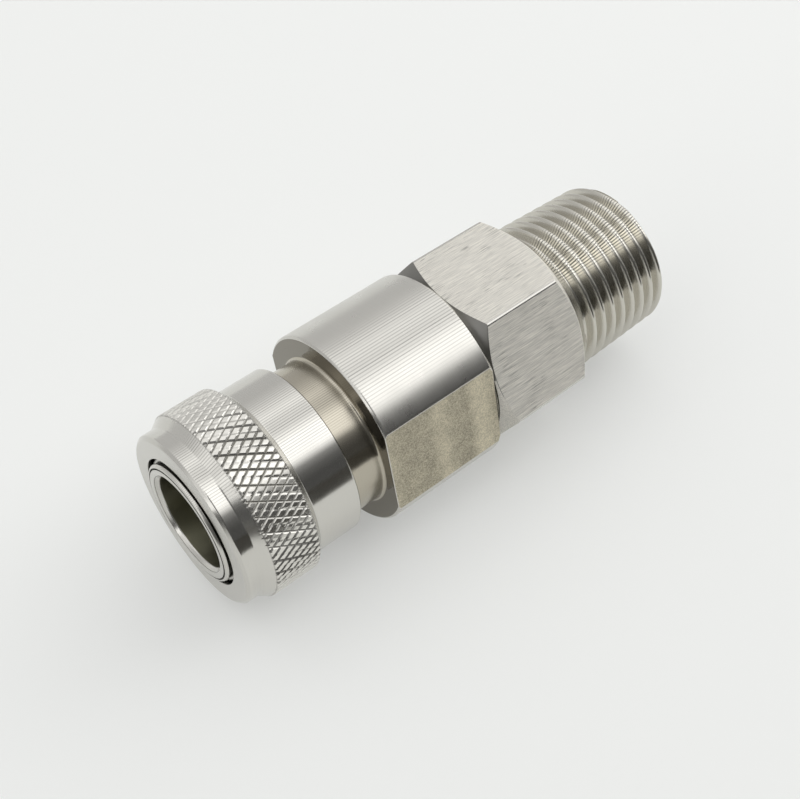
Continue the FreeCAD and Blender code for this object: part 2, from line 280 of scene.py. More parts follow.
def run_tree(piece, tree, **values):
    """Runs a node tree on a piece and keeps the result as its plain mesh."""
    modifier = piece.modifiers.new(tree.name, "NODES")
    modifier.node_group = tree
    for item in tree.interface.items_tree:
        key = item.name.replace(" ", "_").lower()
        if item.in_out == "INPUT" and key in values:
            modifier[item.identifier] = values[key]
    graph = bpy.context.evaluated_depsgraph_get()
    mesh = bpy.data.meshes.new_from_object(piece.evaluated_get(graph), depsgraph=graph)
    piece.modifiers.remove(modifier)
    piece.data = mesh
    return mesh


def new_tree(name, numbers, counts=(), finishes=("Finish",)):
    """Node tree with a geometry in and out and the named inputs: gives the tree and the inputs' values."""
    tree = bpy.data.node_groups.new(name, "GeometryNodeTree")
    tree.interface.new_socket("Geometry", in_out="OUTPUT", socket_type="NodeSocketGeometry")
    groups = {"Geometry": ("Geometry",), "Float": numbers, "Int": counts, "Material": finishes}
    for kind, labels in groups.items():
        for label in labels:
            tree.interface.new_socket(label, in_out="INPUT", socket_type="NodeSocket" + kind)
    return tree, add(tree, "NodeGroupInput", out=None).outputs


def end_tree(tree, geometry, finish, selection=True):
    """Ends a tree with whole geometry, whose selected faces have a finish."""
    whole = add(tree, "GeometryNodeRealizeInstances", geometry)
    finished = add(tree, "GeometryNodeSetMaterial", {
        "Geometry": whole, "Selection": selection, "Material": finish})
    add(tree, "NodeGroupOutput", finished, out=None)
    return tree


def split_place(tree, place):
    """Gives the coordinates of a place, and its offset and distance from the coupling's axis."""
    axes = add(tree, "SeparateXYZ", place, out=None).outputs
    across = add(tree, "CombineXYZ", {1: axes[1], 2: axes[2]})
    return axes, across, add(tree, "VectorMath:LENGTH", across, out="Value")


def knurl_tree():
    """Presses two crossing sets of helical grooves into a turned band and leaves flat-topped diamonds."""
    tree, given = new_tree(
        "Press knurl", ("Crest radius", "Depth", "Diamond length", "Middle", "Flank share"), ("Teeth",))
    axes, across, radius = split_place(tree, add(tree, "GeometryNodeInputPosition"))
    roll = add(tree, "Math:ARCTAN2", axes[1], axes[2])
    turn = add(tree, "Math:DIVIDE", roll, 2 * math.pi)
    tooth = add(tree, "Math:MULTIPLY", turn, given["Teeth"])
    from_middle = add(tree, "Math:SUBTRACT", axes[0], given["Middle"])
    along = add(tree, "Math:DIVIDE", from_middle, given["Diamond length"])
    right_hand = add(tree, "Math:ADD", tooth, along)
    left_hand = add(tree, "Math:SUBTRACT", tooth, along)
    falls = []
    for hand in (right_hand, left_hand):
        rise = add(tree, "Math:PINGPONG", hand, 0.5)
        share = add(tree, "Math:DIVIDE", rise, given["Flank share"])
        height = add(tree, "Math:MINIMUM", share, 1.0)
        falls.append(add(tree, "Math:SUBTRACT", 1.0, height))
    # Every second right-hand groove is shallower and fades towards the front, where the wheel tracked twice
    pair = add(tree, "Math:PINGPONG", right_hand, 1.0)
    second = add(tree, "Math:GREATER_THAN", pair, 0.5)
    fade = add(tree, "MapRange", {
        "Value": along, "From Min": -1.2, "From Max": 1.7, "To Min": 0.15, "To Max": 0.8})
    weak = add(tree, "Math:MULTIPLY", falls[0], fade)
    tracked = add(tree, "GeometryNodeSwitch", {
        "Switch": second, "False": falls[0], "True": weak}, input_type="FLOAT")
    fall = add(tree, "Math:MAXIMUM", tracked, falls[1])
    drop = add(tree, "Math:MULTIPLY", fall, given["Depth"])
    limit = add(tree, "Math:SUBTRACT", given["Crest radius"], drop)
    pressed = add(tree, "Math:MINIMUM", radius, limit)
    ratio = add(tree, "Math:DIVIDE", pressed, radius)
    shrunk = add(tree, "VectorMath:SCALE", {0: across, "Scale": ratio})
    length = add(tree, "CombineXYZ", axes[0])
    goal = add(tree, "VectorMath:ADD", shrunk, length)
    moved = add(tree, "GeometryNodeSetPosition", {"Geometry": given["Geometry"], "Position": goal})
    root = add(tree, "Math:SUBTRACT", given["Crest radius"], given["Depth"])
    in_band = add(tree, "Math:GREATER_THAN", radius, root)
    return end_tree(tree, moved, given["Finish"], in_band)


def thread_tree():
    """Cuts a right-hand taper thread between the relief and the end face, and joins it to the blank."""
    tree, given = new_tree(
        "Cut taper thread",
        ("Pitch", "Depth", "Start", "End", "Large radius", "Taper", "End chamfer", "Face radius"),
        ("Columns", "Rows per turn"), ("Face finish", "Finish"))
    run = add(tree, "Math:SUBTRACT", given["End"], given["Start"])
    wound = add(tree, "Math:ADD", run, given["Pitch"])
    turns = add(tree, "Math:DIVIDE", wound, given["Pitch"])
    steps = add(tree, "Math:MULTIPLY", turns, given["Rows per turn"])
    rows = add(tree, "Math:CEIL", steps)
    row_points = add(tree, "Math:ADD", rows, 1.0)
    column_points = add(tree, "Math:ADD", given["Columns"], 1.0)
    grid = add(tree, "GeometryNodeMeshGrid", {
        "Size X": 1.0, "Size Y": 1.0, "Vertices X": column_points, "Vertices Y": row_points})
    axes, _, reach = split_place(tree, add(tree, "GeometryNodeInputPosition"))
    turn = add(tree, "Math:ADD", axes[0], 0.5)
    climb = add(tree, "Math:ADD", axes[1], 0.5)
    row = add(tree, "Math:MULTIPLY", climb, rows)
    row_turn = add(tree, "Math:DIVIDE", row, given["Rows per turn"])
    lead = add(tree, "Math:SUBTRACT", row_turn, turn)
    free = add(tree, "Math:MULTIPLY_ADD", lead, given["Pitch"], given["Start"])
    not_before = add(tree, "Math:MAXIMUM", free, given["Start"])
    station = add(tree, "Math:MINIMUM", not_before, given["End"])
    along = add(tree, "Math:SUBTRACT", station, given["Start"])
    pitches = add(tree, "Math:DIVIDE", along, given["Pitch"])
    phase = add(tree, "Math:ADD", pitches, turn)
    swing = add(tree, "Math:PINGPONG", phase, 0.5)
    # The crest is narrow and the root is rounded
    fall = add(tree, "MapRange", {
        "Value": swing, "From Min": 0.035, "From Max": 0.46}, interpolation_type="SMOOTHSTEP")
    drop = add(tree, "Math:MULTIPLY", fall, given["Depth"])
    slope = add(tree, "Math:MULTIPLY", along, given["Taper"])
    crest = add(tree, "Math:SUBTRACT", given["Large radius"], slope)
    cut = add(tree, "Math:SUBTRACT", crest, drop)
    root = add(tree, "Math:SUBTRACT", given["Large radius"], given["Depth"])
    # The first turn rises out of the relief at this slope
    run_in_slope = 1.3
    run_in = add(tree, "Math:MULTIPLY_ADD", along, run_in_slope, root)
    started = add(tree, "Math:MINIMUM", cut, run_in)
    small_fall = add(tree, "Math:MULTIPLY", run, given["Taper"])
    small = add(tree, "Math:SUBTRACT", given["Large radius"], small_fall)
    tip = add(tree, "Math:SUBTRACT", small, given["End chamfer"])
    to_end = add(tree, "Math:SUBTRACT", given["End"], station)
    chamfer = add(tree, "Math:ADD", tip, to_end)
    ended = add(tree, "Math:MINIMUM", started, chamfer)
    before_last = add(tree, "Math:SUBTRACT", rows, 0.5)
    is_last = add(tree, "Math:GREATER_THAN", row, before_last)
    radius = add(tree, "GeometryNodeSwitch", {
        "Switch": is_last, "False": ended, "True": given["Face radius"]}, input_type="FLOAT")
    roll = add(tree, "Math:MULTIPLY", turn, 2 * math.pi)
    sine = add(tree, "Math:SINE", roll)
    cosine = add(tree, "Math:COSINE", roll)
    side = add(tree, "Math:MULTIPLY", radius, sine)
    rise = add(tree, "Math:MULTIPLY", radius, cosine)
    goal = add(tree, "CombineXYZ", station, side, rise)
    thread = add(tree, "GeometryNodeSetPosition", {"Geometry": grid, "Position": goal})
    faced = add(tree, "GeometryNodeSetMaterial", {"Geometry": thread, "Material": given["Face finish"]})
    joined = add(tree, "GeometryNodeJoinGeometry", faced, out=None)
    tree.links.new(given["Geometry"], joined.inputs[0])
    merged = add(tree, "GeometryNodeMergeByDistance", {
        "Geometry": joined.outputs[0], "Distance": MERGE_DISTANCE})
    # The thread's faces are those between its start and the end face, outside the bore
    outside = add(tree, "Math:GREATER_THAN", reach, given["Face radius"])
    past = add(tree, "Math:GREATER_THAN", axes[0], given["Start"])
    end_margin = 0.01 * MM
    short = add(tree, "Math:SUBTRACT", given["End"], end_margin)
    before = add(tree, "Math:LESS_THAN", axes[0], short)
    between = add(tree, "Math:MULTIPLY", past, before)
    threaded = add(tree, "Math:MULTIPLY", outside, between)
    return end_tree(tree, merged, given["Finish"], threaded)


def drill_tree():
    """Drills a ring of tapered ball holes through the nose."""
    tree, given = new_tree(
        "Drill ball holes",
        ("First roll", "Station", "Inner radius", "Outer radius", "Foot", "Height", "Wall inside",
         "Wall outside"), ("Count",))
    drill = add(tree, "GeometryNodeMeshCone", {
        "Vertices": 40, "Radius Top": given["Outer radius"], "Radius Bottom": given["Inner radius"],
        "Depth": given["Height"]})
    lift = add(tree, "CombineXYZ", {0: given["Station"], 2: given["Foot"]})
    lifted = add(tree, "GeometryNodeTransform", {"Geometry": drill, "Translation": lift})
    points = add(tree, "GeometryNodePoints", {"Count": given["Count"]})
    index = add(tree, "GeometryNodeInputIndex")
    step = add(tree, "Math:DIVIDE", 2 * math.pi, given["Count"])
    roll = add(tree, "Math:MULTIPLY_ADD", index, step, given["First roll"])
    back = add(tree, "Math:MULTIPLY", roll, -1.0)
    about_axis = add(tree, "CombineXYZ", back)
    turned = add(tree, "FunctionNodeEulerToRotation", about_axis)
    ring = add(tree, "GeometryNodeInstanceOnPoints", {
        "Points": points, "Instance": lifted, "Rotation": turned})
    drills = add(tree, "GeometryNodeRealizeInstances", ring)
    drilled = add(tree, "GeometryNodeMeshBoolean:DIFFERENCE", {
        "Mesh 1": given["Geometry"], "Mesh 2": drills}, solver="EXACT")
    # Only the walls of the holes lie inside the nose's own wall
    axes, _, radius = split_place(tree, add(tree, "GeometryNodeInputPosition"))
    outside = add(tree, "Math:GREATER_THAN", radius, given["Wall inside"])
    inside = add(tree, "Math:LESS_THAN", radius, given["Wall outside"])
    from_hole = add(tree, "Math:SUBTRACT", axes[0], given["Station"])
    aside = add(tree, "Math:ABSOLUTE", from_hole)
    near = add(tree, "Math:LESS_THAN", aside, given["Outer radius"])
    between = add(tree, "Math:MULTIPLY", outside, inside)
    in_hole = add(tree, "Math:MULTIPLY", between, near)
    return end_tree(tree, drilled, given["Finish"], in_hole)


def spring_tree():
    """Winds round wire into a compression spring along the axis, with flat ends to the wire."""
    tree, given = new_tree("Wind spring", ("Front", "Rear", "Mean radius", "Wire radius", "Turns"))
    across = add(tree, "Math:MULTIPLY", given["Wire radius"], 2.0)
    length = add(tree, "Math:SUBTRACT", given["Rear"], given["Front"])
    height = add(tree, "Math:SUBTRACT", length, across)
    helix = add(tree, "GeometryNodeCurveSpiral", {
        "Resolution": 48, "Rotations": given["Turns"], "Start Radius": given["Mean radius"],
        "End Radius": given["Mean radius"], "Height": height})
    wire = add(tree, "GeometryNodeCurvePrimitiveCircle", {"Resolution": 14, "Radius": given["Wire radius"]})
    coil = add(tree, "GeometryNodeCurveToMesh", {"Curve": helix, "Profile Curve": wire, "Fill Caps": True})
    first = add(tree, "Math:ADD", given["Front"], given["Wire radius"])
    start = add(tree, "CombineXYZ", first)
    laid = add(tree, "GeometryNodeTransform", {
        "Geometry": coil, "Translation": start, "Rotation": (0, math.pi / 2, 0)})
    return end_tree(tree, laid, given["Finish"])


def new_finish(name, metallic=1.0):
    """Material with a Principled shader: gives the material, its tree, shader and Object coordinates."""
    finish = bpy.data.materials.new(name)
    finish.use_nodes = True
    tree = finish.node_tree
    shader = tree.nodes["Principled BSDF"]
    shader.inputs["Metallic"].default_value = metallic
    return finish, tree, shader, add(tree, "TexCoord", out="Object")


def fill_ramp(ramp, stops):
    """Sets the grey stops of a colour ramp, each given as its position and level."""
    for count, (position, level) in enumerate(stops):
        stop = ramp.elements[count] if count < 2 else ramp.elements.new(1.0)
        stop.position = position
        stop.color = (level, level, level, 1)


def lay_of_tool(tree, shader, place, anisotropy, turn):
    """Points the shader's stretch along or across the rings that a turning tool leaves."""
    axes, _, radius = split_place(tree, place)
    back = add(tree, "Math:MULTIPLY", axes[2], -1.0)
    ring = add(tree, "CombineXYZ", {1: back, 2: axes[1]})
    connect(tree, shader, {"Tangent": ring, "Anisotropic": anisotropy, "Anisotropic Rotation": turn})
    return axes, radius


def shade(colour, factor):
    """Colour made darker or lighter, with full alpha."""
    return tuple(min(1.0, channel * factor) for channel in colour[:3]) + (1.0,)


def turned_steel(name, colour, roughness, anisotropy=1.0, chatter=0.0, lines=218):
    """Bright turned stainless steel: fine tool rings stretch every reflection along the axis.

    The last two arguments set how strongly painted streaks show, fine dark and light lines along the axis
    that stand for reflections of strip lights, and how many there are.
    """
    finish, tree, shader, place = new_finish(name)
    axes, radius = lay_of_tool(tree, shader, place, anisotropy, ACROSS_RINGS)
    # Tool rings 0.12 mm apart on the cylinders, and closer by this factor on the faces
    ring_spacing, face_factor = 0.12, 1.7
    feed = add(tree, "Math:MULTIPLY_ADD", radius, face_factor, axes[0])
    rings = add(tree, "TexNoise", {
        "W": feed, "Scale": 1 / (ring_spacing * MM), "Detail": 2.0}, noise_dimensions="1D")
    tone = add(tree, "Mix", {
        "Factor": rings, 6: shade(colour, 0.94), 7: shade(colour, 1.06)}, data_type="RGBA", out=2)
    if chatter:
        # Painted reflections of strip lights: dark lines along the axis over a painted highlight. They lie in
        # three zones round the part, one of them on the light's bright streak
        zone_count, zone_roll = 3.0, math.radians(39)
        roll = add(tree, "Math:ARCTAN2", axes[1], axes[2])
        wave = add(tree, "Math:MULTIPLY", roll, float(lines))
        swing = add(tree, "Math:SINE", wave)
        lobe = add(tree, "Math:MULTIPLY_ADD", roll, zone_count, zone_roll)
        zone_wave = add(tree, "Math:COSINE", lobe)
        zone = add(tree, "MapRange", {"Value": zone_wave, "From Min": 0.25, "From Max": 0.8, "To Max": chatter})
        patch = add(tree, "TexNoise", {"W": roll, "Scale": 14.0, "Detail": 2.0}, noise_dimensions="1D")
        uneven = add(tree, "MapRange", {"Value": patch, "From Min": 0.3, "From Max": 0.7, "To Min": 0.25})
        depth = add(tree, "Math:MULTIPLY", zone, uneven)
        line = add(tree, "MapRange", {"Value": swing, "From Min": 0.15, "From Max": 0.95})
        painted_streak = add(tree, "Math:MULTIPLY", line, depth)
        # Painted highlight: within the zones the tone is lifted towards a lighter copy of the colour, and the
        # painted streaks go dark over it
        crest = add(tree, "Math:MULTIPLY", depth, 0.6)
        highlighted = add(tree, "Mix", {
            "Factor": crest, 6: tone, 7: shade(colour, 1.4)}, data_type="RGBA", out=2)
        tone = add(tree, "Mix", {
            "Factor": painted_streak, 6: highlighted, 7: shade(colour, 0.25)}, data_type="RGBA", out=2)
    wear = add(tree, "TexNoise", {"Vector": place, "Scale": 1 / (2.5 * MM), "Detail": 3.0})
    rough = add(tree, "MapRange", {
        "Value": wear, "From Min": 0.3, "From Max": 0.7,
        "To Min": roughness * 0.88, "To Max": roughness * 1.12})
    connect(tree, shader, {"Base Color": tone, "Roughness": rough})
    return finish


def knurled_steel(colour, crest, depth):
    """Pressed stainless knurl: bright flat-topped diamonds, with painted shade that darkens the grooves."""
    finish, tree, shader, place = new_finish("Knurled stainless steel")
    radius = lay_of_tool(tree, shader, place, 0.5, ACROSS_RINGS)[1]
    # Painted shade: the colour darkens from the crests down to the groove floors
    height = add(tree, "MapRange", {
        "Value": radius, "From Min": (crest - depth) * MM, "From Max": crest * MM})
    grit = add(tree, "TexNoise", {"Vector": place, "Scale": 1 / (0.3 * MM), "Detail": 2.0})
    spread = add(tree, "Math:MULTIPLY_ADD", grit, 0.3, -0.15)
    level = add(tree, "Math:ADD", height, spread)
    tone = add(tree, "Mix", {
        "Factor": level, 6: shade(colour, 0.5), 7: shade(colour, 1.2)}, data_type="RGBA", out=2)
    rough = add(tree, "MapRange", {"Value": level, "To Min": 0.4, "To Max": 0.26})
    connect(tree, shader, {"Base Color": tone, "Roughness": rough})
    return finish


def drawn_steel(colour):
    """Cold-drawn hexagon bar: satin, with fine scratches along the bar."""
    finish, tree, shader, place = new_finish("Drawn stainless hexagon")
    lay_of_tool(tree, shader, place, 0.8, ALONG_RINGS)
    # Scratches about 3.2 mm long and 0.1 mm wide, a little wider than real ones so that they show
    long_place = add(tree, "Mapping", {
        "Vector": place, "Scale": (1 / (3.2 * MM), 1 / (0.1 * MM), 1 / (0.1 * MM))})
    scratches = add(tree, "TexNoise", {
        "Vector": long_place, "Scale": 1.0, "Detail": 3.0, "Roughness": 0.65})
    shine = add(tree, "MapRange", {"Value": scratches, "From Min": 0.3, "From Max": 0.7})
    satin = add(tree, "Mix", {
        "Factor": shine, 6: shade(colour, 0.68), 7: shade(colour, 1.16)}, data_type="RGBA", out=2)
    # Deeper dark scores 2.5 mm long, in patches where the bar was gripped
    score_place = add(tree, "Mapping", {
        "Vector": place, "Location": (0.3, 0.7, 0.2),
        "Scale": (1 / (2.5 * MM), 1 / (0.14 * MM), 1 / (0.14 * MM))})
    scores = add(tree, "TexNoise", {"Vector": score_place, "Scale": 1.0, "Detail": 2.0, "Roughness": 0.5})
    grips = add(tree, "TexNoise", {"Vector": place, "Scale": 1 / (4 * MM), "Detail": 1.0})
    gripped = add(tree, "MapRange", {"Value": grips, "From Min": 0.47, "From Max": 0.62, "To Min": 0.05})
    scored = add(tree, "MapRange", {"Value": scores, "From Min": 0.57, "From Max": 0.66, "To Max": 0.6})
    dark = add(tree, "Math:MULTIPLY", scored, gripped)
    tone = add(tree, "Mix", {"Factor": dark, 6: satin, 7: shade(colour, 0.28)}, data_type="RGBA", out=2)
    rough = add(tree, "MapRange", {
        "Value": scratches, "From Min": 0.25, "From Max": 0.75, "To Min": 0.5, "To Max": 0.62})
    bump = add(tree, "Bump", {"Strength": 0.3, "Distance": 0.006 * MM, "Height": scratches})
    connect(tree, shader, {"Base Color": tone, "Roughness": rough, "Normal": bump})
    return finish


def milled_steel(colour, front, rear):
    """End-milled wrench flat: satin and finely speckled, with pale strips where passes overlap."""
    finish, tree, shader, place = new_finish("Milled stainless flat")
    axes = add(tree, "SeparateXYZ", place, out=None).outputs
    # The strips are drawn out across the axis. A noise moves them by two millimetres, about half of which is
    # the same everywhere and is taken off again
    moved = 2.0
    waver = add(tree, "TexNoise", {"Vector": place, "Scale": 1 / (2.5 * MM), "Detail": 2.0})
    shaken = add(tree, "Math:MULTIPLY_ADD", waver, moved * MM, axes[0])
    share = add(tree, "MapRange", {
        "Value": shaken, "From Min": (front + moved / 2) * MM, "From Max": (rear + moved / 2) * MM})
    passes = add(tree, "ValToRGB", share, out=None)
    fill_ramp(passes.color_ramp, (
        (0.0, 0.55), (0.1, 0.35), (0.36, 0.3), (0.44, 0.75), (0.5, 0.7), (0.56, 0.35), (0.72, 0.25),
        (0.8, 0.85), (0.88, 0.9), (0.95, 0.5), (1.0, 0.6)))
    cloud = add(tree, "TexNoise", {"Vector": place, "Scale": 1 / (1.6 * MM), "Detail": 3.0})
    clouds = add(tree, "MapRange", {"Value": cloud, "From Min": 0.3, "From Max": 0.7})
    broad = add(tree, "Mix", {"Factor": 0.25, 2: passes.outputs["Color"], 3: clouds})
    # Speckle of 0.2 mm, coarser than the cutter's real marks so that it shows
    speckle = add(tree, "TexNoise", {
        "Vector": place, "Scale": 1 / (0.2 * MM), "Detail": 2.0, "Roughness": 0.7})
    specks = add(tree, "MapRange", {"Value": speckle, "From Min": 0.36, "From Max": 0.64})
    mixed = add(tree, "Mix", {"Factor": 0.38, 2: broad, 3: specks})
    tone = add(tree, "Mix", {
        "Factor": mixed, 6: shade(colour, 0.3), 7: shade(colour, 1.72)}, data_type="RGBA", out=2)
    rough = add(tree, "MapRange", {"Value": mixed, "To Min": 0.34, "To Max": 0.48})
    bump = add(tree, "Bump", {"Strength": 0.3, "Distance": 0.008 * MM, "Height": speckle})
    connect(tree, shader, {"Base Color": tone, "Roughness": rough, "Normal": bump})
    return finish


def mottled(tree, shader, place, size, detail, colour, dark, light):
    """Gives a shader a colour that a noise of a size in millimetres makes darker and lighter."""
    noise = add(tree, "TexNoise", {"Vector": place, "Scale": 1 / (size * MM), "Detail": detail})
    tone = add(tree, "Mix", {
        "Factor": noise, 6: shade(colour, dark), 7: shade(colour, light)}, data_type="RGBA", out=2)
    connect(tree, shader, {"Base Color": tone})
    return noise


def ball_steel(colour):
    """Lapped chrome-steel ball: a mirror with the faintest cloud of handling."""
    finish, tree, shader, place = new_finish("Lapped ball steel")
    cloud = mottled(tree, shader, place, 0.8, 2.0, colour, 0.94, 1.04)
    rough = add(tree, "MapRange", {"Value": cloud, "To Min": 0.06, "To Max": 0.14})
    connect(tree, shader, {"Roughness": rough})
    return finish


def seal_finish(name, colour, roughness, grain):
    """Moulded seal: soft sheen with a fine grain from the mould, sized in millimetres."""
    finish, tree, shader, place = new_finish(name, metallic=0.0)
    pores = mottled(tree, shader, place, grain, 3.0, colour, 0.85, 1.15)
    bump = add(tree, "Bump", {"Strength": 0.2, "Distance": 0.01 * MM, "Height": pores})
    connect(tree, shader, {"Roughness": roughness, "Normal": bump})
    return finish


def shared(make, name, *values, **settings):
    """A finish that several pieces share, made once."""
    return bpy.data.materials.get(name) or make(name, *values, **settings)


def turned_finish(colours):
    """Turned outside of the sleeve: bright, streaked along the axis, with zones of fine painted streaks that
    stand for reflections of strip lights.
    """
    return shared(turned_steel, "Turned stainless steel", colours.steel, roughness=0.17, chatter=0.6)


def faced_finish(colours):
    """Faced ends: bright, with tool rings that draw each reflection outwards."""
    return shared(
        turned_steel, "Faced stainless steel", shade(colours.steel, 0.94), roughness=0.2, anisotropy=0.7)


def bored_finish(colours):
    """Bores: dull, and darker and yellower than the outside steel, as painted shade."""
    return shared(turned_steel, "Bored stainless steel", colours.bored, roughness=0.34, anisotropy=0.7)


def recess_finish(colours):
    """Walls of narrow gaps and grooves: painted near black, as painted shade where they are hardly lit."""
    return shared(
        turned_steel, "Oiled stainless recess", shade(colours.bored, 0.12), roughness=0.45, anisotropy=0.3)


def wire_finish(colours):
    """Drawn spring wire: a little darker and softer than the turned parts."""
    return shared(turned_steel, "Drawn spring wire", shade(colours.steel, 0.9), roughness=0.3, anisotropy=0.4)


def rubber_finish(colours):
    """Moulded seal rubber: black, with a soft sheen."""
    return shared(seal_finish, "Moulded seal rubber", colours.rubber, roughness=0.5, grain=0.2)


def dress_solid(node, finish):
    """Gives a finish to a solid that stays as it is."""
    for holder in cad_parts[node].material_slots:
        holder.link = "OBJECT"
        holder.material = finish


def soft_minimum(first, second, blend):
    """The smaller of two radii, with a rounded change from one to the other."""
    overlap = max(blend - abs(first - second), 0) / blend
    return min(first, second) - overlap * overlap * blend / 4


class COUPLING_OT_locking_sleeve(bpy.types.Operator):
    """Turn the locking sleeve and press its knurl"""

    bl_idname = "coupling.locking_sleeve"
    bl_label = "Locking sleeve"

    def execute(self, context):
        sizes = context.scene.coupling_sizes
        colours = context.scene.coupling_colours
        front, rear, crest = span("locking_sleeve")
        edge = sizes.edge_break / MM
        land, land_length, land_chamfer = crest - 1.0, 2.1, 0.45
        skirt, skirt_chamfer = crest - 1.25, 0.2
        # Inside: a lip at the mouth, room for the snap ring, the cam over the balls and room for the spring
        lip_wall, ring_wall, slide_wall, cam_wall, spring_wall = 8.6, 8.85, 8.28, 9.388, 9.98
        lip_end, ring_front, ring_rear = front + 0.35, front + 0.6, front + 1.444
        cam_front, cam_slope, cam_rear = front + 2.194, front + 3.794, front + 7.616
        spring_seat = front + 8.616
        band_front, band_rear = front + 3.5, front + 9.5
        middle = (band_front + band_rear) / 2
        # Each diamond is five rows by five columns each way from its middle
        half_rows, diamond_rows, slope_rows = 17, 10, 4
        front_slope, rear_slope = 1 / 1.4, 1.25
        slope = range(1, slope_rows + 1)
        row = (band_rear - band_front) / (2 * half_rows)
        band = [(band_front - count * row, crest - count * row * front_slope) for count in reversed(slope)]
        band += [(middle + count * row, crest) for count in range(-half_rows, half_rows + 1)]
        band += [(band_rear + count * row, crest - count * row * rear_slope) for count in slope]
        outline = eased([
            (front, lip_wall, edge),
            (front, land - land_chamfer, edge),
            (front + land_chamfer, land, edge),
            (front + land_length, land, edge),
            *band,
            (band_rear + 1.0, skirt, edge),
            (rear - skirt_chamfer, skirt, 0.1),
            (rear, skirt - skirt_chamfer, 0.1),
            (rear, spring_wall, edge),
            (spring_seat, spring_wall),
            (spring_seat, slide_wall),
            (cam_rear, slide_wall),
            (cam_slope, cam_wall),
            (cam_front, cam_wall),
            (cam_front, slide_wall),
            (ring_rear, slide_wall),
            (ring_rear, ring_wall),
            (ring_front, ring_wall),
            (lip_end, lip_wall),
        ])
        teeth = sizes.knurl_teeth
        lowest = crest - 0.75
        mesh = turned_mesh(
            "locking_sleeve", lambda roll: outline, diamond_rows * teeth, lattice=(middle, row, lowest))

        def choose(x, r, normal):
            if r < spring_wall + 0.02 and x > front + 0.1:
                return "recess" if x < front + 2 else "bored"
            return "faced" if abs(normal.x) > 0.6 else "turned"

        tidy(mesh)
        depth = sizes.knurl_depth / MM
        piece = show("sleeve_turned", mesh, {
            "turned": turned_finish(colours), "bored": bored_finish(colours),
            "faced": faced_finish(colours), "recess": recess_finish(colours)}, choose)
        mesh = run_tree(
            piece, knurl_tree(), crest_radius=crest * MM, depth=depth * MM, teeth=teeth,
            diamond_length=diamond_rows * row * MM, middle=middle * MM, flank_share=0.2,
            finish=knurled_steel(colours.steel, crest, depth))
        mesh.set_sharp_from_angle(angle=math.radians(SHARP_ANGLE))
        hand_over(piece, "sleeve", "stainless", "locking_sleeve")
        return {"FINISHED"}


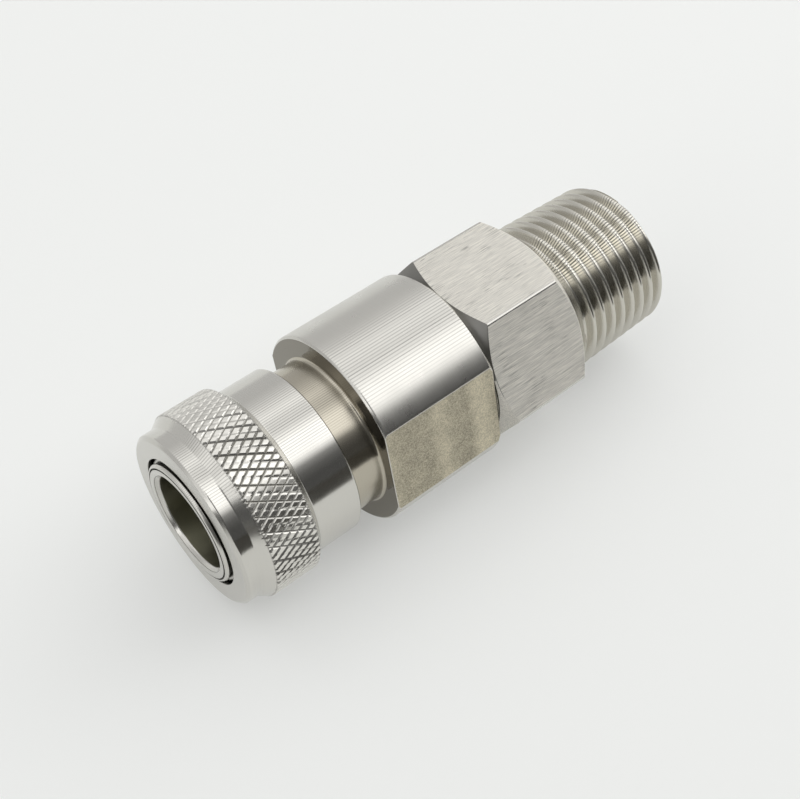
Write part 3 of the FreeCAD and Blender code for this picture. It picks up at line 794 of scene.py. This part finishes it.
class COUPLING_OT_socket_body(bpy.types.Operator):
    """Turn the nose, neck and body, mill the wrench flats and drill the ball holes"""

    bl_idname = "coupling.socket_body"
    bl_label = "Socket body"

    def execute(self, context):
        sizes = context.scene.coupling_sizes
        colours = context.scene.coupling_colours
        nose, rear, body_radius = span("socket_body")
        edge = sizes.edge_break / MM
        front = rear - 16.8
        flat_distance, flat_roll, flat_blend = body_radius - 1.5, -77.5, 0.08
        # Nose, from its mouth outwards: a fine groove in its lip, the groove of the snap ring and the neck
        mouth, mouth_chamfer, lip = 6.2, 0.5, 8.0
        fine_groove, fine_groove_depth = (7.42, 7.48, 7.58, 7.64), 0.2
        ring_groove, ring_slope_front, ring_slope_rear, ring_rear = 7.5, nose + 0.5, nose + 1.281, nose + 2.0
        nose_wall, neck, neck_front, neck_fillet = 8.2, 9.9, front - 6.1, 0.5
        # Bores, from the adapter's end: its spigot, the valve and its seat, then the plug's seal and pilot
        spigot_bore, spigot_end = 9.8, rear - 6.6
        valve_bore, valve_end = 8.4, rear - 13.2
        seat_large, throat, seat_end, throat_end = 7.6, 4.6, rear - 16.2, rear - 17.6
        pilot, seal_groove, seal_rear, seal_front = 5.6, 7.36, rear - 19.65, rear - 22.4
        pilot_front, mouth_end = nose + 10.794, nose + 10.194

        def rim(roll):
            away = (roll - flat_roll + 90) % 180 - 90
            if abs(away) > 60:
                return body_radius
            return soft_minimum(body_radius, flat_distance / math.cos(math.radians(away)), flat_blend)

        def section(roll):
            wide = rim(roll)
            front_break = max(wide - body_radius + 0.3, edge)
            rear_break = max(wide - body_radius + 0.45, edge)
            return eased([
                (nose, mouth + mouth_chamfer, edge),
                (nose, fine_groove[0]),
                (nose + fine_groove_depth, fine_groove[1]),
                (nose + fine_groove_depth, fine_groove[2]),
                (nose, fine_groove[3], 0.05),
                (nose + 0.08, lip - 0.14, 0.1),
                (nose + 0.35, lip, 0.1),
                (ring_slope_front, lip),
                (ring_slope_rear, ring_groove),
                (ring_rear, ring_groove),
                (ring_rear, nose_wall),
                (neck_front, nose_wall),
                (neck_front, neck),
                (neck_front + 2.1, neck),
                (front, neck, neck_fillet, 5),
                (front, wide - front_break, edge),
                (front + front_break, wide, edge),
                (rear - rear_break, wide, edge),
                (rear, wide - rear_break, edge),
                (rear, spigot_bore),
                (spigot_end, spigot_bore),
                (spigot_end, valve_bore),
                (valve_end, valve_bore),
                (valve_end, seat_large),
                (seat_end, throat),
                (throat_end, throat),
                (throat_end, pilot),
                (seal_rear, pilot),
                (seal_rear, seal_groove),
                (seal_front, seal_groove),
                (seal_front, pilot),
                (pilot_front, pilot),
                (mouth_end, mouth),
                (nose + 9.6, mouth),
                (nose + 6.2, mouth),
                (nose + mouth_chamfer, mouth, edge),
            ])

        mesh = turned_mesh("socket_body", section, 480)
        toward = Vector((0, math.sin(math.radians(flat_roll)), math.cos(math.radians(flat_roll))))
        near = 0.02

        def choose(x, r, normal):
            if x > front + near and r > flat_distance - 0.1 and abs(normal.dot(toward)) > 0.99:
                return "flat"
            if nose + 0.45 < x < ring_rear + 0.1 and ring_groove - 0.1 < r < nose_wall + 0.1:
                return "recess"
            if nose + 0.05 < x < nose + 0.25 and r < fine_groove[3] - near:
                return "recess"
            if r < neck - 0.05 and x > nose + 0.6:
                return "bored"
            if abs(x - front) < near and normal.x < -0.7:
                return "shoulder"
            if x < front + near and r > neck - 0.1:
                return "neck"
            return "faced" if abs(normal.x) > 0.6 else "barrel"

        tidy(mesh)
        bored = bored_finish(colours)
        piece = show("body_turned", mesh, {
            # Barrel: a softer cut, so its reflections are broad, with coarser painted streaks that stand for
            # reflections of strip lights
            "barrel": turned_steel(
                "Rough-turned stainless steel", colours.steel, roughness=0.3, anisotropy=0.6, chatter=0.7,
                lines=200),
            "flat": milled_steel(colours.milled, front, rear),
            "bored": bored,
            "faced": faced_finish(colours),
            "recess": recess_finish(colours),
            # Shoulder: a fine face that mirrors the dark neck, its colour painted dark as painted shade for
            # that dark reflection
            "shoulder": turned_steel(
                "Fine-faced stainless steel", shade(colours.oiled, 0.44), roughness=0.1, anisotropy=0.3),
            # Neck: warm and darker, as painted shade of the recess between the sleeve and the shoulder
            "neck": turned_steel(
                "Neck stainless steel with painted shade", colours.oiled, roughness=0.2, anisotropy=0.9, chatter=0.5),
        }, choose)
        mesh = run_tree(
            piece, drill_tree(), count=8, first_roll=math.radians(22.5), station=(nose + 7.894) * MM,
            inner_radius=1.14 * MM, outer_radius=2.16 * MM, foot=4.7 * MM, height=5.0 * MM,
            wall_inside=(mouth + 0.05) * MM, wall_outside=(nose_wall - 0.05) * MM, finish=bored)
        mesh.set_sharp_from_angle(angle=math.radians(SHARP_ANGLE))
        hand_over(piece, "coupler", "stainless", "socket_body")
        return {"FINISHED"}


class COUPLING_OT_adapter(bpy.types.Operator):
    """Shape the hexagon and its spigot and cut the taper pipe thread"""

    bl_idname = "coupling.adapter"
    bl_label = "Adapter"

    def execute(self, context):
        sizes = context.scene.coupling_sizes
        colours = context.scene.coupling_colours
        spigot, end, half_flats = span("adapter")
        edge = sizes.edge_break / MM
        front = spigot + 5.4
        face = half_flats - 0.3
        bore, bore_chamfer, spigot_radius = 7.0, 0.6, 9.75
        seal_groove, seal_front, seal_rear = 8.54, front - 1.85, front - 0.35
        joint_gap = 0.16
        front_rise, rear_rise = math.tan(math.radians(35)), math.tan(math.radians(40))
        relief, relief_end = 9.55, 1.2
        corner = sizes.hex_corner / MM
        corner_radius = half_flats / math.cos(math.radians(30))
        columns, sharp = 384, 50

        def rim(roll):
            away = abs((roll + 30) % 60 - 30)
            here = half_flats / math.cos(math.radians(away))
            beside = half_flats / math.cos(math.radians(60 - away))
            return soft_minimum(here, beside, corner)

        def section(roll):
            wide = rim(roll)
            return eased([
                (end, bore + bore_chamfer),
                (end - bore_chamfer, bore, edge),
                (spigot, bore, edge),
                (spigot, spigot_radius, edge),
                (seal_front, spigot_radius),
                (seal_front, seal_groove),
                (seal_rear, seal_groove),
                (seal_rear, spigot_radius),
                (front, spigot_radius),
                (front, face - 0.05),
                (front + joint_gap, face),
                (front + joint_gap + (wide - face) * front_rise, wide, 0.07),
                (-(wide - face) * rear_rise, wide, 0.07),
                (0, face, 0.06),
                (0, relief, 0.2, 3),
                (relief_end, relief),
            ])

        mesh = turned_mesh("adapter", section, columns, closed=False)

        def choose(x, r, normal):
            if front < x < 0 and r > face and abs(normal.x) < 0.3:
                return "faced" if r > corner_radius - 0.13 else "drawn"
            if x < front / 2 and r > face - 0.1:
                # Only the upper corners' bevels get the painted shade: the lower ones catch the floor's light
                return "recess" if r < face else "bevel" if normal.z > 0.28 else "drawn"
            if r > face and 0.3 < normal.x < 0.95:
                return "chamfer"
            return "bored" if r < 9 else "faced"

        tidy(mesh, sharp)
        faced = faced_finish(colours)
        piece = show("adapter_turned", mesh, {
            "faced": faced,
            "drawn": drawn_steel(colours.drawn),
            "bored": bored_finish(colours),
            # Front bevel: its colour painted dark, as painted shade on the upper corners
            "bevel": turned_steel(
                "Stainless bevel with painted shade", shade(colours.steel, 0.35), roughness=0.35, anisotropy=0.5),
            "recess": recess_finish(colours),
            # Rear chamfer: satin, its colour lightened to near white as a painted highlight
            "chamfer": turned_steel(
                "Satin stainless chamfer", shade(colours.steel, 1.5), roughness=0.5, anisotropy=0.1),
        }, choose)
        # Thread: bright flanks with a comb of coarse painted streaks across them, painted reflections of
        # strip lights over a painted highlight
        thread = turned_steel(
            "Threaded stainless steel", colours.threaded, roughness=0.18, chatter=1.6, lines=160)
        mesh = run_tree(
            piece, thread_tree(), pitch=sizes.thread_pitch, depth=sizes.thread_depth, start=relief_end * MM,
            end=end * MM, large_radius=10.712 * MM, taper=1 / 32, end_chamfer=0.7 * MM,
            face_radius=(bore + bore_chamfer) * MM, columns=columns, rows_per_turn=16, face_finish=faced,
            finish=thread)
        tidy(mesh, sharp)
        hand_over(piece, "coupler", "stainless", "adapter")
        return {"FINISHED"}


class COUPLING_OT_snap_ring(bpy.types.Operator):
    """Bend the round-wire ring that keeps the sleeve on the nose"""

    bl_idname = "coupling.snap_ring"
    bl_label = "Snap ring"

    def execute(self, context):
        colours = context.scene.coupling_colours
        front, rear = span("snap_ring")[:2]
        wire = (rear - front) / 2
        middle = (front + rear) / 2
        radius, first, sweep = 8.05, 159.0, 336.0
        last = first + sweep
        parts, tip_parts, sides = 180, 6, 20
        # The tips are half balls
        tip = math.degrees(wire / radius)
        rounds = [tip * (1 - math.cos(math.pi / 2 * step / tip_parts)) for step in range(tip_parts + 1)]
        stops = [first + step for step in rounds]
        stops += [first + tip + (sweep - 2 * tip) * part / parts for part in range(1, parts)]
        stops += [last - step for step in reversed(rounds)]
        points = []
        for stop in stops:
            from_end = min(stop - first, last - stop, tip)
            thick = wire * math.sqrt(max(1 - (1 - from_end / tip) ** 2, 0))
            roll = math.radians(stop)
            for side in range(sides):
                turn = 2 * math.pi * side / sides
                x = middle + thick * math.sin(turn)
                r = radius + thick * math.cos(turn)
                points.append((x * MM, r * math.sin(roll) * MM, r * math.cos(roll) * MM))
        faces = []
        for stop in range(len(stops) - 1):
            for side in range(sides):
                beside = (side + 1) % sides
                low, high = stop * sides, (stop + 1) * sides
                faces.append([low + side, low + beside, high + beside, high + side])
        mesh = new_mesh("snap_ring", points, faces)
        tidy(mesh, 60)
        piece = show("snap_ring_wire", mesh, {"wire": wire_finish(colours)})
        hand_over(piece, "coupler", "spring_steel", "snap_ring")
        return {"FINISHED"}


class COUPLING_OT_springs(bpy.types.Operator):
    """Wind the sleeve spring and the valve spring"""

    bl_idname = "coupling.springs"
    bl_label = "Springs"

    def execute(self, context):
        finish = wire_finish(context.scene.coupling_colours)
        tree = spring_tree()
        wire, clearance = 0.4, 0.03
        for node, body, joint, travel, turns in (
                ("sleeve_spring", "spring_carrier", "sleeve_slide", 3.6, 3.0),
                ("valve_spring", "coupler", "valve_slide", 2.6, 3.5)):
            front, rear, outer = span(node)
            piece = show(node + "_wire", bpy.data.meshes.new(node), {})
            mesh = run_tree(
                piece, tree, front=front * MM, rear=rear * MM, mean_radius=(outer - wire) * MM,
                wire_radius=(wire - clearance) * MM, turns=turns, finish=finish)
            tidy(mesh, 60)
            hand_over(piece, body, "spring_steel", node)
            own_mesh(piece)
        return {"FINISHED"}


class COUPLING_OT_lock_balls(bpy.types.Operator):
    """Place the eight locking balls"""

    bl_idname = "coupling.lock_balls"
    bl_label = "Locking balls"

    def execute(self, context):
        finish = ball_steel(context.scene.coupling_colours.chrome)
        for number in range(1, 9):
            node = "lock_ball_%d" % number
            low, high = (Vector(corner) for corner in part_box(node))
            middle = Matrix.Translation((low + high) / 2)
            mesh = bpy.data.meshes.new(node)
            work = bmesh.new()
            bmesh.ops.create_icosphere(work, subdivisions=4, radius=(high.x - low.x) / 2, matrix=middle)
            work.to_mesh(mesh)
            work.free()
            mesh.shade_smooth()
            piece = show("ball_%d" % number, mesh, {"ball": finish})
            hand_over(piece, node + "_body", "ball_steel", node)
        return {"FINISHED"}


class COUPLING_OT_valve(bpy.types.Operator):
    """Turn the valve poppet and finish its seal and its guide"""

    bl_idname = "coupling.valve"
    bl_label = "Check valve"

    def execute(self, context):
        colours = context.scene.coupling_colours
        nose, end, head = span("valve_poppet")
        edge = 0.08
        tip, tip_chamfer = 3.4, 0.4
        rim, rim_length = nose + 6.226, 1.6
        groove_front, groove_rear, groove = 1.75, 0.45, head - 2.65
        stem, stem_chamfer = 1.8, 0.3
        outline = eased([
            (nose, 0),
            (nose, tip - tip_chamfer, edge),
            (nose + tip_chamfer, tip, edge),
            (rim - head + tip, tip, edge),
            (rim - groove_front, head - groove_front),
            (rim - groove_front, groove),
            (rim - groove_rear, groove),
            (rim - groove_rear, head - groove_rear),
            (rim, head, edge),
            (rim + rim_length, head, edge),
            (rim + rim_length, stem, edge),
            (end - stem_chamfer, stem, edge),
            (end, stem - stem_chamfer, edge),
            (end, 0),
        ])
        mesh = turned_mesh("valve_poppet", lambda roll: outline, 160, closed=False)
        tidy(mesh)
        bored = bored_finish(colours)
        piece = show("valve_turned", mesh, {"bored": bored})
        hand_over(piece, "valve", "stainless", "valve_poppet")
        dress_solid("valve_seal", rubber_finish(colours))
        dress_solid("valve_guide", bored)
        return {"FINISHED"}


class COUPLING_OT_seals(bpy.types.Operator):
    """Mould the plug seal and finish the rings that back it and seal the adapter"""

    bl_idname = "coupling.seals"
    bl_label = "Seals"

    def execute(self, context):
        colours = context.scene.coupling_colours
        front, rear, outer = span("plug_seal")
        inner = outer - 1.9
        chamfer, ease = 0.45, 0.12
        outline = eased([
            (front, inner + chamfer, ease),
            (front, outer - chamfer, ease),
            (front + chamfer, outer, ease),
            (rear - chamfer, outer, ease),
            (rear, outer - chamfer, ease),
            (rear, inner + chamfer, ease),
            (rear - chamfer, inner, ease),
            (front + chamfer, inner, ease),
        ])
        mesh = turned_mesh("plug_seal", lambda roll: outline, 160)
        tidy(mesh)
        rubber = rubber_finish(colours)
        piece = show("plug_seal_moulded", mesh, {"rubber": rubber})
        hand_over(piece, "coupler", "seal_rubber", "plug_seal")
        # White seal plastic: paler and a little glossier than the rubber
        dress_solid("seal_backup_ring", seal_finish("Turned seal plastic", colours.plastic, 0.4, 0.3))
        dress_solid("adapter_seal", rubber)
        return {"FINISHED"}


class COUPLING_OT_stage(bpy.types.Operator):
    """Set the floor, the light tent and the camera"""

    bl_idname = "coupling.stage"
    bl_label = "Stage"

    def execute(self, context):
        scene = context.scene
        scene.view_settings.view_transform = "Standard"
        self.lay_floor(scene)
        self.hang_tent()
        self.stand_strip()
        self.light_room(scene)
        self.set_camera(scene)
        return {"FINISHED"}

    def lay_floor(self, scene):
        """Matt white board: pale and even, with a soft shadow."""
        finish, tree, shader, place = new_finish("Matt white board", metallic=0.0)
        paint = scene.coupling_colours.floor
        half_width, glow = 4, 0.35
        mottled(tree, shader, place, 250 / 3, 2.0, paint, 0.62, 0.625)
        # The board passes some light from below, which softens the shadow for the eye and for the metal
        rays = add(tree, "LightPath", out=None).outputs
        seen = add(tree, "Math:ADD", rays["Is Camera Ray"], rays["Is Glossy Ray"])
        also = add(tree, "Math:ADD", seen, rays["Is Transmission Ray"], use_clamp=True)
        through = add(tree, "Math:MULTIPLY", also, glow)
        connect(tree, shader, {
            "Emission Color": shade(paint, 1.0), "Emission Strength": through, "Roughness": 0.9,
            "Specular IOR Level": 0.1})
        corners = ((-1, -1), (1, -1), (1, 1), (-1, 1))
        points = [(x * half_width, y * half_width, cad_box[0][2]) for x, y in corners]
        mesh = new_mesh("floor", points, [(0, 1, 2, 3)])
        show("floor", mesh, {"board": finish})

    def hang_tent(self):
        """Arched light tent along the coupling, whose light changes with the roll angle.

        A bright bank stands over the near side, the far side is even and dimmer, and the foot of the near
        side is dark. So the turned metal shows one white streak between grey ones, and dark bands below it.
        """
        cloth = bpy.data.materials.new("Light tent")
        cloth.use_nodes = True
        tree = cloth.node_tree
        tree.nodes.clear()
        place = add(tree, "TexCoord", out="Object")
        axes = add(tree, "SeparateXYZ", place, out=None).outputs
        roll = add(tree, "Math:ARCTAN2", axes[1], axes[2])
        degrees = add(tree, "Math:DEGREES", roll)
        widest = 100
        share = add(tree, "MapRange", {
            "Value": degrees, "From Min": -float(widest), "From Max": float(widest)})
        ramp = add(tree, "ValToRGB", share, out=None)
        # Light level by roll angle. The ramp holds half of it, because its colours end at one
        levels = (
            (-widest, 0.10), (-66, 0.09), (-56, 0.16), (-48, 0.35), (-41, 1.2), (-36, 1.65), (-14, 1.6),
            (-8, 1.35), (4, 0.93), (16, 1.0), (26, 1.2), (34, 1.05), (48, 0.8), (62, 0.66), (widest, 0.66))
        full, lamp_full = 2.0, 3.0
        fill_ramp(ramp.color_ramp, [
            ((angle + widest) / (2 * widest), level / full) for angle, level in levels])
        # A dark patch of cloth lies on the near side, and a lamp stands behind the far end
        patch_lean, patch_roll, patch_level = -0.48, -47.0, (0.06, 0.06, 0.06, 1)
        reach = add(tree, "VectorMath:LENGTH", place, out="Value")
        lean = add(tree, "Math:DIVIDE", axes[0], reach)
        fades = []
        for value, middle, inside, outside in (
                (lean, patch_lean, 0.22, 0.4), (degrees, patch_roll, 26.0, 40.0)):
            away = add(tree, "Math:SUBTRACT", value, middle)
            aside = add(tree, "Math:ABSOLUTE", away)
            fades.append(add(tree, "MapRange", {
                "Value": aside, "From Min": inside, "From Max": outside, "To Min": 1.0, "To Max": 0.0}))
        patch = add(tree, "Math:MULTIPLY", fades[0], fades[1])
        level = add(tree, "Mix", {
            "Factor": patch, 6: ramp.outputs["Color"], 7: patch_level}, data_type="RGBA", out=2)
        lamp = add(tree, "MapRange", {
            "Value": lean, "From Min": 0.62, "From Max": 0.75, "To Min": full, "To Max": lamp_full})
        glow = add(tree, "Emission", {"Color": level, "Strength": lamp})
        add(tree, "OutputMaterial", {"Surface": glow}, out=None)
        # The arch is open at its far end and ends just above the floor
        radius, half_length, half_arc, parts = 0.7, 1.6, 91, 96
        points = []
        for part in range(parts + 1):
            angle = math.radians(half_arc * (2 * part / parts - 1))
            for x in (-half_length, half_length):
                points.append((x, radius * math.sin(angle), radius * math.cos(angle)))
        faces = [(2 * part, 2 * part + 1, 2 * part + 3, 2 * part + 2) for part in range(parts)]
        faces.append(tuple(range(0, 2 * parts + 1, 2)))
        tent = show("light_tent", new_mesh("light_tent", points, faces), {"cloth": cloth})
        tent.visible_camera = False

    def stand_strip(self):
        """Low strip of black card that only the metal sees. It draws the lower edge of the dark bands."""
        card, tree, shader, place = new_finish("Black card", metallic=0.0)
        mottled(tree, shader, place, 2, 2.0, linear("#504E4A"), 0.9, 1.1)
        connect(tree, shader, {"Roughness": 0.9})
        left, right, y, top = -0.25, 0.4, -0.13, 0.03
        points = [(x, y, z) for x in (left, right) for z in (cad_box[0][2], top)]
        strip = show("low_strip", new_mesh("low_strip", points, [(0, 1, 3, 2)]), {"card": card})
        strip.visible_camera = False
        strip.visible_diffuse = False
        strip.visible_shadow = False

    def light_room(self, scene):
        """Pale room beyond the tent's open end."""
        world = bpy.data.worlds.new("Pale room")
        scene.world = world
        world.use_nodes = True
        world.node_tree.nodes["Background"].inputs["Color"].default_value = (0.84, 0.85, 0.84, 1)

    def set_camera(self, scene):
        """Camera above the mouth, looking down along the coupling, in metres and millimetres of lens."""
        eye = (-0.08854, -0.08077, 0.12635)
        forward = Vector((0.40662, 0.48533, -0.77402)).normalized()
        right = Vector((0.7665, -0.6422, 0)).normalized()
        lens = bpy.data.cameras.new("camera")
        lens.lens = 58.56
        lens.sensor_width = 36
        lens.clip_start = 0.005
        camera = bpy.data.objects.new("camera", lens)
        scene.collection.objects.link(camera)
        turn = Matrix((right, right.cross(forward), -forward)).transposed().to_4x4()
        camera.matrix_world = Matrix.Translation(eye) @ turn
        scene.camera = camera


class COUPLING_PT_panel(bpy.types.Panel):
    """Sizes, colours and steps of the coupling"""

    bl_label = "Quick coupling body"
    bl_idname = "COUPLING_PT_panel"
    bl_space_type = "VIEW_3D"
    bl_region_type = "UI"
    bl_category = "Coupling"

    def draw(self, context):
        layout = self.layout
        for group in (context.scene.coupling_sizes, context.scene.coupling_colours):
            box = layout.box()
            for name in group.__annotations__:
                box.prop(group, name)
        for step in steps:
            layout.operator(step.bl_idname)


steps = (
    COUPLING_OT_stage,
    COUPLING_OT_locking_sleeve,
    COUPLING_OT_socket_body,
    COUPLING_OT_adapter,
    COUPLING_OT_snap_ring,
    COUPLING_OT_springs,
    COUPLING_OT_lock_balls,
    COUPLING_OT_valve,
    COUPLING_OT_seals,
)
classes = (CouplingSizes, CouplingColours, *steps, COUPLING_PT_panel)


def register():
    for item in classes:
        bpy.utils.register_class(item)
    bpy.types.Scene.coupling_sizes = bpy.props.PointerProperty(type=CouplingSizes)
    bpy.types.Scene.coupling_colours = bpy.props.PointerProperty(type=CouplingColours)


def unregister():
    del bpy.types.Scene.coupling_colours
    del bpy.types.Scene.coupling_sizes
    for item in reversed(classes):
        bpy.utils.unregister_class(item)


def main():
    register()
    bpy.ops.coupling.stage()
    bpy.ops.coupling.locking_sleeve()
    bpy.ops.coupling.socket_body()
    bpy.ops.coupling.adapter()
    bpy.ops.coupling.snap_ring()
    bpy.ops.coupling.springs()
    bpy.ops.coupling.lock_balls()
    bpy.ops.coupling.valve()
    bpy.ops.coupling.seals()


if __name__ == "__main__":
    main()
